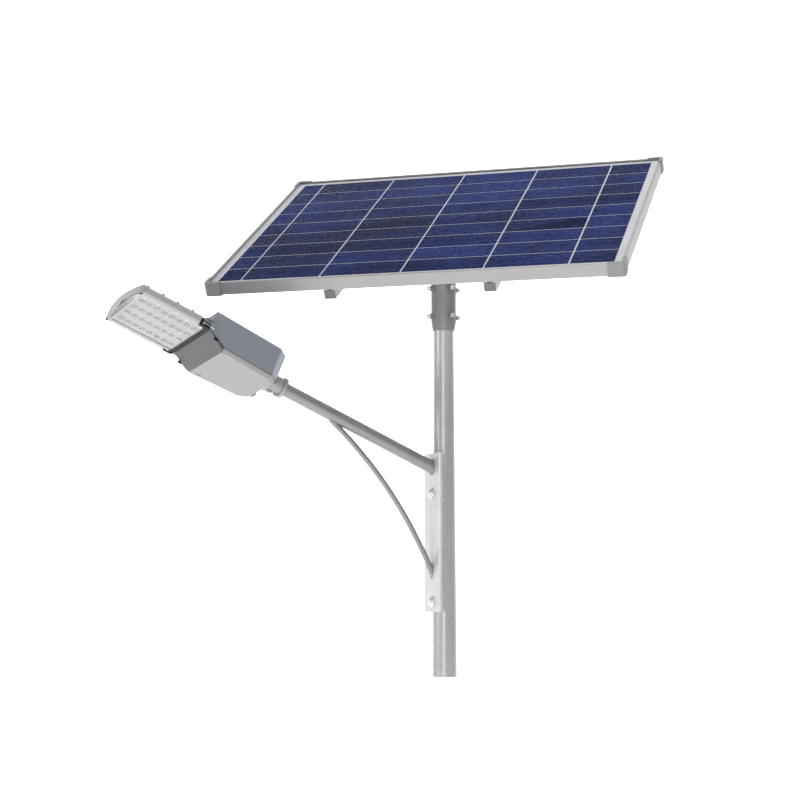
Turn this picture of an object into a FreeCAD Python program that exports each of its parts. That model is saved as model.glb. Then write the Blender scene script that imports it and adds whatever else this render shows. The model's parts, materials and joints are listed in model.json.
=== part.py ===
"""Solar street lamp top: pole head, side arm with lamp head, and tilting solar panel.

Millimetres. Origin at the centre of the pole's open lower end, +Z up the pole.
The lamp arm reaches towards -X. Each sub-part is written to its own STEP file.
"""
import FreeCAD, Part
import os
from math import cos, radians, sin, sqrt, tan

Vec = FreeCAD.Vector

# Pole, a tapered tube with a straight socket at its lower end
POLE_LENGTH = 1134.0
POLE_FOOT_R = 35.5
POLE_TOP_R = 29.0
SOCKET_R = 31.0
SOCKET_DEPTH = 160.0
POLE_WALL = 4.0

# Arm plate, a pressed channel held on the pole by two through bolts
PLATE_BOTTOM = 184.0
PLATE_TOP = 640.0
PLATE_WIDTH = 104.0
PLATE_FACE_X = -40.0
PLATE_THICK = 5.0
PLATE_FLANGE = 12.0
BOLT_HEIGHTS = (214.0, 524.0)
BOLT_R = 6.0
BOLT_HEAD_R = 15.0
NUT_FLATS = 19.0
NUT_THICK = 10.0
WASHER_R = 17.0
WASHER_THICK = 2.5
RIB_OFFSET = 22.0
RIB_THICK = 6.0
RIB_BACK_X = -20.0

# Arm and brace
ARM_ANGLE = 24.6
ARM_AXIS_Z = 581.0
ARM_R = 19.0
ARM_WALL = 3.0
ARM_END = 618.0
BRACE_R = 8.0
BRACE_START = (-352.0, 724.0)
BRACE_MIDDLE = (-203.0, 567.0)
BRACE_FOOT = (-38.0, 293.0)

# Panel post, a sleeve that turns on the pole head
SLEEVE_R = 36.5
SLEEVE_BORE_R = 30.7
SLEEVE_BOTTOM = 1024.0
CONE_BOTTOM = 998.0
CONE_R = 31.9
CAP_THICK = 8.0
CAP_HALF_X = 46.0
CAP_HALF_Y = 38.0
CAP_Z = 1152.0
SCREW_HEIGHTS = (1039.0, 1121.0)
SCREW_R = 4.0

# Tilt hinge between the post and the panel
PIVOT_OVER_CAP = 34.0
EAR_THICK = 6.0
EAR_R = 19.0
PIN_R = 6.0
LOCK_R = 4.0
LOCK_SWING = 24.0
LUG_GAP = 1.0
PANEL_TURN = -41.2
PANEL_TILT = 30.6
TILT_DOWN = 20.0
TILT_UP = 25.0

# Solar panel and its carrier
PANEL_X = 1186.0
PANEL_Y = 892.0
FRAME_H = 35.0
FRAME_LIP = 9.0
FRAME_WALL = 2.5
FRAME_FOOT = 26.0
FRAME_FLANGE = 2.0
GLASS_THICK = 3.2
SHEET_THICK = 0.8
SHELF_THICK = 1.8
CELL_ROWS = 9
CELL_FIELD_X = 1130.0
CELL_FIELD_Y = 836.0
CELL_COLUMNS = (0.30, 1.0, 1.0, 1.0, 1.0, 0.53)
COLUMN_GAP = 5.0
ROW_GAP = 5.0
RAIL_X = 227.0
RAIL_W = 36.0
RAIL_H = 28.0
RAIL_WALL = 2.5
BEAM_X = 620.0
BEAM_W = 50.0
BEAM_H = 40.0
BEAM_WALL = 3.0
BEAM_OVER_PIVOT = 24.0
GUARD_LEG = 49.0
GUARD_THICK = 3.0
SMALL_BOLT_R = 3.0
SMALL_HOLE_R = 3.2
SMALL_NUT_FLATS = 10.0
RAIL_BOLT_OFFSET = 10.0
FRAME_BOLT_INSET = 20.0
RAIL_MOUTH = 16.0

# Lamp head, in its own axes: X out along the arm, Z up, turned about the arm axis
HEAD_ROLL = 7.7
FITTER_IN = 548.0
FITTER_OUT = 604.0
FITTER_R = 25.5
FITTER_BORE_R = 19.4
FITTER_RING_R = 30.0
BOX_REAR = 604.0
BOX_FRONT = 842.0
BOX_HALF_REAR = 120.0
BOX_HALF_FRONT = 139.0
BOX_TOP = 56.0
BOX_WALL = 3.0
SEAM_Z = -27.0
TRAY_BOTTOM = -40.0
TRAY_SLOPE_X = 783.0
TRAY_BEVEL = 8.0
TRAY_GAP = 0.6
HINGE_X = 600.2
HINGE_Z = -31.0
NOTCH_R = 35.0
CLIP_X = 868.0
CLIP_Y = 155.8
CLIP_PIN_R = 1.5
CLIP_EYE_R = 3.2
CLIP_TIP_X = 822.0
CLIP_STRIPS = ((-3.0, 1.0), (5.0, 9.0))
BLOCK_X = (846.0, 874.0)
BLOCK_Y = (137.0, 152.0)
BLOCK_Z = (-8.0, 11.0)
SIDE_RAIL_IN = 877.0
PAD_X = (810.0, 822.0)
PAD_Y = (130.0, 140.5)
PAD_Z = (-24.0, -16.5)
MODULE_IN = 853.0
MODULE_OUT = 1047.0
MODULE_HALF = 151.0
MODULE_BASE = 12.0
RAIL_INNER = 136.0
LENS_HALF = 125.0
LENS_FACE = -4.0
FIN_TOP = 40.0
CAP_BULGE = 16.0
CAP_SIDE = 8.0
CAP_RIM = 3.5
HINGE_EYE_R = 3.4
HINGE_PIN_R = 2.0
LED_ROWS = 4
LED_COLUMNS = 8


def box(low, high):
    """Block between two opposite corners."""
    size = [b - a for a, b in zip(low, high)]
    return Part.makeBox(size[0], size[1], size[2], Vec(*low))


def rod(radius, start, end):
    """Round bar between two points."""
    axis = Vec(*end) - Vec(*start)
    return Part.makeCylinder(radius, axis.Length, Vec(*start), axis)


def tube(outer, inner, start, end):
    """Round tube between two points."""
    return rod(outer, start, end).cut(rod(inner, start, end))


def hexagon(flats, start, end):
    """Hexagonal bar between two points, measured across its flats."""
    axis = Vec(*end) - Vec(*start)
    corner = flats / 2 / cos(radians(30))
    ring = [Vec(corner * cos(radians(60 * k)), corner * sin(radians(60 * k)), 0) for k in range(7)]
    prism = Part.Face(Part.makePolygon(ring)).extrude(Vec(0, 0, axis.Length))
    prism.Placement = FreeCAD.Placement(Vec(*start), FreeCAD.Rotation(Vec(0, 0, 1), axis))
    return prism


def slab(points, low_z, high_z):
    """Flat plate with the given outline in X and Y."""
    ring = [Vec(x, y, low_z) for x, y in points]
    return Part.Face(Part.makePolygon(ring + ring[:1])).extrude(Vec(0, 0, high_z - low_z))


def side_plate(points, low_y, high_y):
    """Flat plate with the given outline in X and Z."""
    ring = [Vec(x, low_y, z) for x, z in points]
    return Part.Face(Part.makePolygon(ring + ring[:1])).extrude(Vec(0, high_y - low_y, 0))


def end_plate(points, low_x, high_x):
    """Flat plate with the given outline in Y and Z."""
    ring = [Vec(low_x, y, z) for y, z in points]
    return Part.Face(Part.makePolygon(ring + ring[:1])).extrude(Vec(high_x - low_x, 0, 0))


def rounded(shape, radius, chosen):
    """The shape with a fillet on each edge that the test picks by its middle."""
    edges = [edge for edge in shape.Edges if chosen(edge.BoundBox.Center, edge.BoundBox)]
    return shape.makeFillet(radius, edges)


def write(name, shapes, placement=FreeCAD.Placement()):
    """Writes one node, a single solid or a group of like solids."""
    solids = []
    for shape in shapes if isinstance(shapes, list) else [shapes]:
        solids += shape.Solids
    moved = [solid.copy() for solid in solids]
    for solid in moved:
        solid.Placement = placement.multiply(solid.Placement)
    node = moved[0] if len(moved) == 1 else Part.makeCompound(moved)
    node.exportStep(f"parts/{name}.step")


def pole_radius(height):
    """Outer radius of the tapered pole."""
    return POLE_FOOT_R + (POLE_TOP_R - POLE_FOOT_R) * height / POLE_LENGTH


# ---- pole, arm plate, arm and brace: the fixed body

def pole():
    """Tapered tube, straight-bored at the foot to sit on the lower pole."""
    outside = Part.makeCone(POLE_FOOT_R, POLE_TOP_R, POLE_LENGTH)
    taper = Part.makeCone(pole_radius(SOCKET_DEPTH) - POLE_WALL, POLE_TOP_R - POLE_WALL,
                          POLE_LENGTH - SOCKET_DEPTH, Vec(0, 0, SOCKET_DEPTH))
    hollow = taper.fuse(Part.makeCylinder(SOCKET_R, SOCKET_DEPTH))
    tube_wall = outside.cut(hollow)
    for height in BOLT_HEIGHTS:
        tube_wall = tube_wall.cut(rod(BOLT_R, (-POLE_FOOT_R, 0, height), (0, 0, height)))
    return tube_wall


def arm_plate():
    """Pressed channel whose web faces the lamp and whose flanges lie beside the pole."""
    half = PLATE_WIDTH / 2
    back = PLATE_FACE_X + PLATE_FLANGE
    plate = box((PLATE_FACE_X, -half, PLATE_BOTTOM), (back, half, PLATE_TOP))
    inside = half - PLATE_THICK
    plate = rounded(plate, PLATE_THICK * 0.9,
                    lambda c, b: b.ZLength > 100 and c.x < PLATE_FACE_X + 1)
    groove = box((PLATE_FACE_X + PLATE_THICK, -inside, PLATE_BOTTOM - 1), (back + 1, inside, PLATE_TOP + 1))
    plate = plate.cut(groove)
    for height in BOLT_HEIGHTS:
        plate = plate.cut(rod(BOLT_R, (-60, 0, height), (0, 0, height)))
    return plate


def saddles():
    """Cross ribs welded in the channel and cut to the pole's round, two at each bolt."""
    inside = PLATE_WIDTH / 2 - PLATE_THICK
    ribs = []
    for height in BOLT_HEIGHTS:
        for side in (-1, 1):
            low = height + side * RIB_OFFSET - RIB_THICK / 2
            rib = box((PLATE_FACE_X + PLATE_THICK, -inside, low), (RIB_BACK_X, inside, low + RIB_THICK))
            ribs.append(rib.cut(Part.makeCylinder(pole_radius(low), RIB_THICK, Vec(0, 0, low))))
    return ribs


def plate_bolts():
    """Domed bolts that pass through the plate into nuts inside the pole."""
    bolts = []
    for height in BOLT_HEIGHTS:
        face = PLATE_FACE_X - WASHER_THICK
        dome = Part.makeSphere(BOLT_HEAD_R * 1.15, Vec(face + 8.5, 0, height))
        dome = dome.common(rod(BOLT_HEAD_R, (face - 12, 0, height), (face, 0, height)))
        shank = rod(BOLT_R, (face, 0, height), (4 - nut_seat(height) + NUT_THICK, 0, height))
        bolts.append(dome.fuse(shank).removeSplitter())
    return bolts


def bolt_washers():
    """Flat washers under the bolt heads."""
    face = PLATE_FACE_X
    return [tube(WASHER_R, BOLT_R, (face - WASHER_THICK, 0, h), (face, 0, h)) for h in BOLT_HEIGHTS]


def nut_seat(height):
    """How far from the pole's axis a nut's corners meet the inner wall."""
    corner = NUT_FLATS / 2 / cos(radians(30))
    return sqrt((pole_radius(height) - POLE_WALL) ** 2 - corner ** 2)


def bolt_nuts():
    """Hexagon nuts welded inside the pole's wall."""
    nuts = []
    for height in BOLT_HEIGHTS:
        seat = 0.2 - nut_seat(height)
        nut = hexagon(NUT_FLATS, (seat, 0, height), (seat + NUT_THICK, 0, height))
        nuts.append(nut.cut(rod(BOLT_R, (-POLE_FOOT_R, 0, height), (0, 0, height))))
    return nuts


def arm_point(reach, drop=0.0):
    """A point at a reach along the arm axis, dropped square to it."""
    angle = radians(ARM_ANGLE)
    return (-reach * cos(angle) - drop * sin(angle), 0, ARM_AXIS_Z + reach * sin(angle) - drop * cos(angle))


def arm():
    """Round tube, mitred where it is welded to the plate's web."""
    whole = tube(ARM_R, ARM_R - ARM_WALL, arm_point(20), arm_point(ARM_END))
    return whole.cut(box((PLATE_FACE_X, -50, 500), (50, 50, 700)))


def brace():
    """Bowed round bar welded under the arm and to the plate."""
    start, middle, foot = (Vec(x, 0, z) for x, z in (BRACE_START, BRACE_MIDDLE, BRACE_FOOT))
    bow = Part.Arc(start, middle, foot).toShape()
    section = Part.Wire(Part.makeCircle(BRACE_R, start, bow.tangentAt(bow.FirstParameter)))
    bar = Part.Wire(bow).makePipeShell([section], True, False)
    bar = bar.cut(rod(ARM_R, arm_point(0), arm_point(ARM_END)))
    return bar.cut(box((PLATE_FACE_X, -50, 0), (50, 50, 700)))


def sleeve():
    """Sleeve with a swaged lower edge that turns on the pole head."""
    top = CAP_Z - CAP_THICK
    body = Part.makeCylinder(SLEEVE_R, top - SLEEVE_BOTTOM, Vec(0, 0, SLEEVE_BOTTOM))
    body = body.fuse(Part.makeCone(CONE_R, SLEEVE_R, SLEEVE_BOTTOM - CONE_BOTTOM, Vec(0, 0, CONE_BOTTOM)))
    body = body.cut(Part.makeCylinder(SLEEVE_BORE_R, top - CONE_BOTTOM, Vec(0, 0, CONE_BOTTOM)))
    for start, end in screw_lines():
        body = body.cut(rod(SCREW_R, start, end))
    return body.removeSplitter()


def screw_lines():
    """Axes of the set screws, four round the sleeve at each height, from inside out."""
    lines = []
    for height in SCREW_HEIGHTS:
        gap = pole_radius(height) + 0.3
        for k in range(4):
            angle = radians(45 + 90 * k)
            lines.append(((gap * cos(angle), gap * sin(angle), height),
                          (54 * cos(angle), 54 * sin(angle), height)))
    return lines


def set_screws():
    """Headed set screws that grip the pole."""
    screws = []
    for start, end in screw_lines():
        inner, outer = Vec(*start), Vec(*end)
        way = (outer - inner).normalize()
        head = hexagon(13, tuple(outer - way * 6), tuple(outer))
        screws.append(rod(SCREW_R, start, tuple(outer - way * 6)).fuse(head).removeSplitter())
    return screws


def screw_bosses():
    """Nuts welded on the sleeve, one for each set screw."""
    bosses = []
    for start, end in screw_lines():
        way = (Vec(*end) - Vec(*start)).normalize()
        base = Vec(0, 0, start[2]) + Vec(way.x, way.y, 0) * (SLEEVE_R - 2)
        nut = hexagon(15, tuple(base), tuple(base + way * 9))
        nut = nut.cut(Part.makeCylinder(SLEEVE_R, 40, Vec(0, 0, start[2] - 20)))
        bosses.append(nut.cut(rod(SCREW_R, start, end)))
    return bosses


# ---- panel post: the body that turns on the pole head

PIVOT_Z = CAP_Z + PIVOT_OVER_CAP
EAR_IN = CAP_HALF_X - EAR_THICK


def post_cap():
    """Square plate welded on top of the sleeve."""
    plate = box((-CAP_HALF_X, -CAP_HALF_Y, CAP_Z - CAP_THICK), (CAP_HALF_X, CAP_HALF_Y, CAP_Z))
    return rounded(plate, 8, lambda c, b: b.ZLength > 1 and b.XLength < 0.1 and b.YLength < 0.1)


def ears():
    """Two ears welded on the cap, each bored for the pin and the lock bolt."""
    pair = []
    for x in (-CAP_HALF_X, EAR_IN):
        ear = box((0, -EAR_R, CAP_Z), (EAR_THICK, EAR_R, PIVOT_Z))
        ear = ear.fuse(rod(EAR_R, (0, 0, PIVOT_Z), (EAR_THICK, 0, PIVOT_Z)))
        ear = ear.cut(rod(PIN_R, (-1, 0, PIVOT_Z), (EAR_THICK + 1, 0, PIVOT_Z)))
        ear = ear.cut(rod(LOCK_R, (-1, 0, PIVOT_Z - LOCK_SWING), (EAR_THICK + 1, 0, PIVOT_Z - LOCK_SWING)))
        pair.append(ear.removeSplitter().translated(Vec(x, 0, 0)))
    return pair


def tilt_pin():
    """Long bolt through ears and lugs, with its head and its nut."""
    reach = CAP_HALF_X + LUG_GAP + EAR_THICK + 1.5
    shank = rod(PIN_R, (-reach, 0, PIVOT_Z), (reach + 14, 0, PIVOT_Z))
    head = hexagon(19, (-reach - 8, 0, PIVOT_Z), (-reach, 0, PIVOT_Z))
    nut = hexagon(19, (reach, 0, PIVOT_Z), (reach + 10, 0, PIVOT_Z))
    return shank.fuse([head, nut]).removeSplitter()


def lock_bolts():
    """Short bolts in the arc slots that hold the tilt."""
    bolts = []
    height = PIVOT_Z - LOCK_SWING
    for side in (-1, 1):
        inner, face = side * (EAR_IN - 7), side * (CAP_HALF_X + LUG_GAP + EAR_THICK + 1.0)
        shank = rod(LOCK_R, (inner, 0, height), (face, 0, height))
        head = hexagon(13, (face, 0, height), (face + side * 6, 0, height))
        nut = hexagon(13, (inner, 0, height), (side * EAR_IN, 0, height))
        bolts.append(shank.fuse([head, nut]).removeSplitter())
    return bolts


# ---- panel carrier and panel: modelled flat about the pivot, then tilted and turned

TOP_Z = FRAME_H + RAIL_H + BEAM_H + BEAM_OVER_PIVOT
FRAME_FOOT_Z = TOP_Z - FRAME_H
RAIL_FOOT_Z = FRAME_FOOT_Z - RAIL_H
BEAM_FOOT_Z = RAIL_FOOT_Z - BEAM_H
CENTRE_Y = TOP_Z * tan(radians(PANEL_TILT))
GLASS_TOP = TOP_Z - 1.5
CELL_Z = GLASS_TOP - GLASS_THICK
SHEET_Z = CELL_Z - SHEET_THICK
SHELF_Z = SHEET_Z - SHEET_THICK
POST_PLACE = FreeCAD.Placement(Vec(), FreeCAD.Rotation(Vec(0, 0, 1), PANEL_TURN))
PANEL_PLACE = FreeCAD.Placement(
    Vec(0, 0, PIVOT_Z),
    FreeCAD.Rotation(Vec(0, 0, 1), PANEL_TURN).multiply(FreeCAD.Rotation(Vec(1, 0, 0), PANEL_TILT)))


def lugs():
    """Two plates welded under the beam, each with a pin hole and an arc slot."""
    pair = []
    inner = CAP_HALF_X + LUG_GAP
    low = radians(PANEL_TILT - TILT_DOWN)
    high = radians(PANEL_TILT + TILT_UP)
    middle = (low + high) / 2
    slot_ends = [(-LOCK_SWING * sin(turn), -LOCK_SWING * cos(turn)) for turn in (low, middle, high)]
    for side in (-1, 1):
        start, end = side * inner, side * (inner + EAR_THICK)
        plate = rod(LOCK_SWING + 11, (start, 0, 0), (end, 0, 0))
        plate = plate.fuse(box((min(start, end), -22, 0), (max(start, end), 22, BEAM_FOOT_Z)))
        top = box((min(start, end), -60, BEAM_FOOT_Z), (max(start, end), 60, BEAM_FOOT_Z + 60))
        plate = plate.cut(top).cut(rod(PIN_R + 0.08, (start, 0, 0), (end, 0, 0)))
        ring = tube(LOCK_SWING + LOCK_R + 0.4, LOCK_SWING - LOCK_R - 0.4, (start, 0, 0), (end, 0, 0))
        spread = [(0, 0)] + [(y * 3, z * 3) for y, z in slot_ends]
        slot = ring.common(end_plate(spread, min(start, end), max(start, end)))
        for y, z in (slot_ends[0], slot_ends[2]):
            slot = slot.fuse(rod(LOCK_R + 0.4, (start, y, z), (end, y, z)))
        pair.append(plate.cut(slot).removeSplitter())
    return pair


def beam():
    """Square tube that carries both rails, drilled on top for their bolts."""
    half = BEAM_X / 2
    side = BEAM_W / 2
    whole = box((-half, -side, BEAM_FOOT_Z), (half, side, RAIL_FOOT_Z))
    whole = rounded(whole, 5, lambda c, b: b.XLength > 100)
    whole = whole.cut(box((-half - 1, BEAM_WALL - side, BEAM_FOOT_Z + BEAM_WALL),
                          (half + 1, side - BEAM_WALL, RAIL_FOOT_Z - BEAM_WALL)))
    return whole.cut(rail_holes())


def rail_bolt_places():
    """Where the bolts stand that hold the rails on the beam, two for each rail."""
    return [rail + side * RAIL_BOLT_OFFSET for rail in (-RAIL_X, RAIL_X) for side in (-1, 1)]


def rail_holes():
    """Drillings for the rail bolts through the beam's top and the rails' floors."""
    low, high = RAIL_FOOT_Z - BEAM_WALL - 1, RAIL_FOOT_Z + RAIL_WALL + 1
    return [rod(SMALL_HOLE_R, (x, 0, low), (x, 0, high)) for x in rail_bolt_places()]


def beam_plugs():
    """Caps pressed in the open ends of the beam."""
    plugs = []
    for side in (-1, 1):
        inner, face = side * (BEAM_X / 2 - 12), side * BEAM_X / 2
        low_y, high_y = BEAM_WALL - BEAM_W / 2, BEAM_W / 2 - BEAM_WALL
        body = box((min(inner, face), low_y, BEAM_FOOT_Z + BEAM_WALL),
                   (max(inner, face), high_y, RAIL_FOOT_Z - BEAM_WALL))
        cover = box((min(face, face + side * 3), -BEAM_W / 2 + 1, BEAM_FOOT_Z + 1),
                    (max(face, face + side * 3), BEAM_W / 2 - 1, RAIL_FOOT_Z - 1))
        plugs.append(body.fuse(cover).removeSplitter())
    return plugs


def rail(x):
    """Lipped C channel that runs up the slope under the frame, open upwards."""
    half = RAIL_W / 2
    low_y, high_y = CENTRE_Y - PANEL_Y / 2, CENTRE_Y + PANEL_Y / 2
    whole = box((x - half, low_y, RAIL_FOOT_Z), (x + half, high_y, FRAME_FOOT_Z))
    whole = rounded(whole, 5, lambda c, b: b.YLength > 100 and c.z < RAIL_FOOT_Z + 1)
    groove = box((x - half + RAIL_WALL, low_y - 1, RAIL_FOOT_Z + RAIL_WALL),
                 (x + half - RAIL_WALL, high_y + 1, FRAME_FOOT_Z - RAIL_WALL))
    mouth = box((x - RAIL_MOUTH / 2, low_y - 1, FRAME_FOOT_Z - RAIL_WALL - 1),
                (x + RAIL_MOUTH / 2, high_y + 1, FRAME_FOOT_Z + 1))
    return whole.cut([groove, mouth] + rail_holes())


def rail_plugs():
    """Rounded end plugs, one in each end of each rail."""
    plugs = []
    half = RAIL_W / 2 - RAIL_WALL
    for x in (-RAIL_X, RAIL_X):
        for side in (-1, 1):
            face = CENTRE_Y + side * PANEL_Y / 2
            inner = face - side * 14
            plugs.append(box((x - half, min(inner, face), RAIL_FOOT_Z + RAIL_WALL),
                             (x + half, max(inner, face), FRAME_FOOT_Z - RAIL_WALL)))
    return plugs


def rail_bolts():
    """Bolts that hold the rails down on the beam, their nuts inside it."""
    bolts = []
    low, high = RAIL_FOOT_Z - BEAM_WALL, RAIL_FOOT_Z + RAIL_WALL
    for x in rail_bolt_places():
        shank = rod(SMALL_BOLT_R, (x, 0, low), (x, 0, high))
        nut = hexagon(SMALL_NUT_FLATS, (x, 0, low - 5), (x, 0, low))
        head = hexagon(SMALL_NUT_FLATS, (x, 0, high), (x, 0, high + 4))
        bolts.append(shank.fuse([nut, head]).removeSplitter())
    return bolts


def frame_bolt_places():
    """Where the frame is bolted to the rails, near both ends of each."""
    reach = PANEL_Y / 2 - FRAME_BOLT_INSET
    return [(x, CENTRE_Y + side * reach) for x in (-RAIL_X, RAIL_X) for side in (-1, 1)]


def frame_bolts():
    """Bolts with a plate head under the rail's lips and a nut on the frame's flange."""
    bolts = []
    lip = FRAME_FOOT_Z - RAIL_WALL
    top = FRAME_FOOT_Z + FRAME_FLANGE
    for x, y in frame_bolt_places():
        reach = RAIL_W / 2 - RAIL_WALL - 1
        plate = box((x - reach, y - 5, lip - 4), (x + reach, y + 5, lip))
        shank = rod(SMALL_BOLT_R, (x, y, lip), (x, y, top + 7))
        nut = hexagon(SMALL_NUT_FLATS, (x, y, top), (x, y, top + 5))
        bolts.append(plate.fuse([shank, nut]).removeSplitter())
    return bolts


def frame_ring():
    """Closed aluminium section all round: side wall, top lip, glass shelf and foot flange."""
    def block(inset, low, high):
        return box((inset - PANEL_X / 2, CENTRE_Y + inset - PANEL_Y / 2, low),
                   (PANEL_X / 2 - inset, CENTRE_Y + PANEL_Y / 2 - inset, high))
    flange_top = FRAME_FOOT_Z + FRAME_FLANGE
    ring = block(0, FRAME_FOOT_Z, TOP_Z)
    ring = ring.cut(block(FRAME_LIP, GLASS_TOP - 1, TOP_Z + 1))
    ring = ring.cut(block(FRAME_WALL, SHELF_Z, GLASS_TOP))
    ring = ring.cut(block(FRAME_LIP + 2, SHELF_Z - SHELF_THICK - 1, SHELF_Z + 1))
    ring = ring.cut(block(FRAME_WALL, flange_top, SHELF_Z - SHELF_THICK))
    ring = ring.cut(block(FRAME_FOOT, FRAME_FOOT_Z - 1, flange_top + 1))
    return ring.cut([rod(SMALL_HOLE_R, (x, y, FRAME_FOOT_Z - 1), (x, y, flange_top + 1))
                     for x, y in frame_bolt_places()])


def frame_bars():
    """The ring parted at its mitred corners into four bars."""
    half_x, half_y = PANEL_X / 2, PANEL_Y / 2
    ring = frame_ring()
    cuts = {
        "frame_front": [(-half_x, -half_y), (half_x, -half_y), (half_x - half_y, 0), (half_y - half_x, 0)],
        "frame_rear": [(-half_x, half_y), (half_x, half_y), (half_x - half_y, 0), (half_y - half_x, 0)],
        "frame_left": [(-half_x, -half_y), (half_y - half_x, 0), (-half_x, half_y)],
        "frame_right": [(half_x, -half_y), (half_x - half_y, 0), (half_x, half_y)],
    }
    bars = {}
    for name, outline in cuts.items():
        wedge = slab([(x, y + CENTRE_Y) for x, y in outline], FRAME_FOOT_Z - 1, TOP_Z + 1)
        bars[name] = ring.common(wedge)
    return bars


def corner_guards():
    """Moulded corner pieces that wrap the frame's corners."""
    guards = []
    outer_z = (FRAME_FOOT_Z - GUARD_THICK, TOP_Z + GUARD_THICK)
    frame = box((-PANEL_X / 2, CENTRE_Y - PANEL_Y / 2, FRAME_FOOT_Z),
                (PANEL_X / 2, CENTRE_Y + PANEL_Y / 2, TOP_Z))
    window_in = FRAME_LIP - 1
    window = box((window_in - PANEL_X / 2, CENTRE_Y + window_in - PANEL_Y / 2, FRAME_FOOT_Z - 9),
                 (PANEL_X / 2 - window_in, CENTRE_Y + PANEL_Y / 2 - window_in, TOP_Z + 9))
    for side_x in (-1, 1):
        for side_y in (-1, 1):
            corner = (side_x * (PANEL_X / 2 + GUARD_THICK),
                      CENTRE_Y + side_y * (PANEL_Y / 2 + GUARD_THICK))
            far = (corner[0] - side_x * GUARD_LEG, corner[1] - side_y * GUARD_LEG)
            block = box((min(corner[0], far[0]), min(corner[1], far[1]), outer_z[0]),
                        (max(corner[0], far[0]), max(corner[1], far[1]), outer_z[1]))
            block = rounded(block, 10, lambda c, b: b.ZLength > 10 and abs(c.x - corner[0]) < 1
                            and abs(c.y - corner[1]) < 1)
            guards.append(block.cut(frame).cut(window))
    return guards


def sheet(low, high, inset=4.0):
    """One layer of the laminate."""
    return box((inset - PANEL_X / 2, CENTRE_Y + inset - PANEL_Y / 2, low),
               (PANEL_X / 2 - inset, CENTRE_Y + PANEL_Y / 2 - inset, high))


def cells():
    """Solar cells in rows and columns with narrow gaps."""
    pitch_x = CELL_FIELD_X / sum(CELL_COLUMNS)
    pitch_y = CELL_FIELD_Y / CELL_ROWS
    low_z = SHEET_Z
    grid = []
    left = -CELL_FIELD_X / 2
    for share in CELL_COLUMNS:
        right = left + share * pitch_x
        for row in range(CELL_ROWS):
            low_y = CENTRE_Y - CELL_FIELD_Y / 2 + row * pitch_y
            grid.append(box((left + COLUMN_GAP / 2, low_y + ROW_GAP / 2, low_z),
                            (right - COLUMN_GAP / 2, low_y + pitch_y - ROW_GAP / 2, CELL_Z)))
        left = right
    return grid


def junction_box():
    """Connection box glued under the laminate near its upper edge."""
    y = CENTRE_Y + PANEL_Y / 2 - 110
    body = box((-60, y - 45, SHELF_Z - 20), (60, y + 45, SHELF_Z))
    body = rounded(body, 6, lambda c, b: b.ZLength > 10)
    return body.cut(box((-56, y - 41, SHELF_Z - 21), (56, y + 41, SHELF_Z - 4)))


def junction_lid():
    """Snap lid of the connection box."""
    y = CENTRE_Y + PANEL_Y / 2 - 110
    lid = box((-60, y - 45, SHELF_Z - 24), (60, y + 45, SHELF_Z - 20))
    return rounded(lid, 6, lambda c, b: b.ZLength > 1 and b.XLength < 0.1 and b.YLength < 0.1)


def junction_glands():
    """Two cable glands in the lower wall of the connection box."""
    y = CENTRE_Y + PANEL_Y / 2 - 155
    glands = []
    for x in (-28, 28):
        nut = hexagon(13, (x, y - 12, SHELF_Z - 11), (x, y, SHELF_Z - 11))
        stem = rod(5, (x, y - 20, SHELF_Z - 11), (x, y - 12, SHELF_Z - 11))
        bore = rod(2.5, (x, y - 21, SHELF_Z - 11), (x, y, SHELF_Z - 11))
        glands.append(nut.fuse(stem).cut(bore).removeSplitter())
    return glands


# ---- lamp head: modelled about the arm axis, then turned, tilted and set on the arm

HEAD_PLACE = FreeCAD.Placement(
    Vec(0, 0, ARM_AXIS_Z),
    FreeCAD.Rotation(Vec(0, 1, 0), ARM_ANGLE)
    .multiply(FreeCAD.Rotation(Vec(0, 0, 1), 180))
    .multiply(FreeCAD.Rotation(Vec(1, 0, 0), HEAD_ROLL)))
FITTER_BOLTS_X = (563.0, 584.0)


def fitter():
    """Clamp sleeve of the head with a collar at each end, bored for the arm tube."""
    body = rod(FITTER_R, (FITTER_IN, 0, 0), (FITTER_OUT, 0, 0))
    ring = rod(FITTER_RING_R, (FITTER_IN, 0, 0), (FITTER_IN + 9, 0, 0))
    boss = rod(FITTER_RING_R + 1, (BOX_REAR - 10, 0, 0), (BOX_REAR, 0, 0))
    body = body.fuse([ring, boss])
    for x in FITTER_BOLTS_X:
        body = body.fuse(rod(8, (x, 0, -FITTER_R - 5), (x, 0, -FITTER_BORE_R)))
    body = body.cut(rod(FITTER_BORE_R, (FITTER_IN - 1, 0, 0), (FITTER_OUT + 1, 0, 0)))
    for x in FITTER_BOLTS_X:
        body = body.cut(rod(4, (x, 0, -60), (x, 0, 0)))
    return body.removeSplitter()


def fitter_bolts():
    """Two socket screws that press the sleeve onto the arm."""
    screws = []
    for x in FITTER_BOLTS_X:
        shank = rod(4, (x, 0, -FITTER_R - 6), (x, 0, -ARM_R - 0.3))
        screws.append(shank.cut(hexagon(4, (x, 0, -FITTER_R - 7), (x, 0, -FITTER_R - 3))))
    return screws


def box_outline(inset):
    """Plan of the head's box: wide at the lamp end, narrower and cut off at the arm end."""
    rear, front = BOX_REAR + inset, BOX_FRONT - inset
    slim, wide = BOX_HALF_REAR - inset, BOX_HALF_FRONT - inset
    return [(rear, -slim + 30), (rear + 26, -slim), (front, -wide),
            (front, wide), (rear + 26, slim), (rear, slim - 30)]


def mouth_z(x):
    """Lower edge of the housing's side above the tray's slope."""
    return SEAM_Z + (x - TRAY_SLOPE_X) * -SEAM_Z / (BOX_FRONT + 4 - TRAY_SLOPE_X)


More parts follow.
